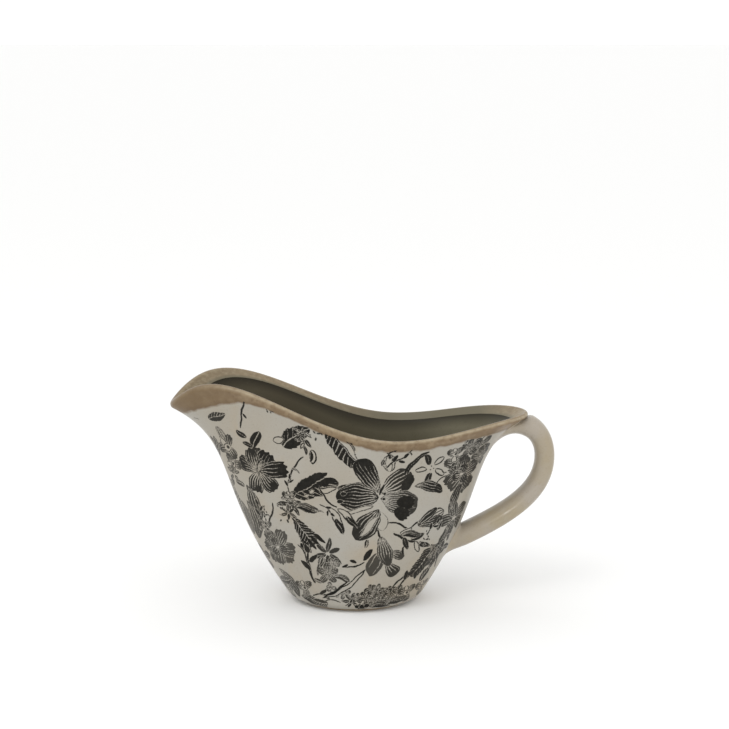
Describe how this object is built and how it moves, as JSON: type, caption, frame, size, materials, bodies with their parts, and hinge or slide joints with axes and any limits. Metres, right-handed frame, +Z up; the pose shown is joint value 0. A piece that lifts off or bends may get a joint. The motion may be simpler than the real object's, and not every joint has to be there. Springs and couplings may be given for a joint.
{
  "type": "cream jug",
  "caption": "Glazed porcelain cream jug: oval flared body with a long raised spout, loop handle, stained lip, printed flowers and a bare foot ring.",
  "frame": {"origin": "centre of the foot ring, on the surface that the jug stands on", "axes": "+Z up, -X towards the spout, +X towards the handle, +Y across; the shape is the same on both sides of the XZ plane"},
  "size_m": [0.1997, 0.0796, 0.1187],
  "materials": {
    "glazed_body": "clear gloss glaze over a warm grey-white body",
    "bare_foot": "unglazed, matt, tan",
    "glazed_handle": "clear gloss glaze, warmer than the wall",
    "stained_lip": "mottled iron-brown stain under satin glaze",
    "inner_glaze": "grey-olive gloss glaze",
    "printed_wall": "black-green transfer print under clear gloss glaze"
  },
  "bodies": {
    "root": {"body": "glazed_body", "foot_ring": "bare_foot", "handle": "glazed_handle", "upper_joint": "glazed_handle", "lower_joint": "glazed_handle", "rim_stain": "stained_lip", "glaze_lining": "inner_glaze", "transfer_left": "printed_wall", "transfer_right": "printed_wall"}
  },
  "joints": []
}
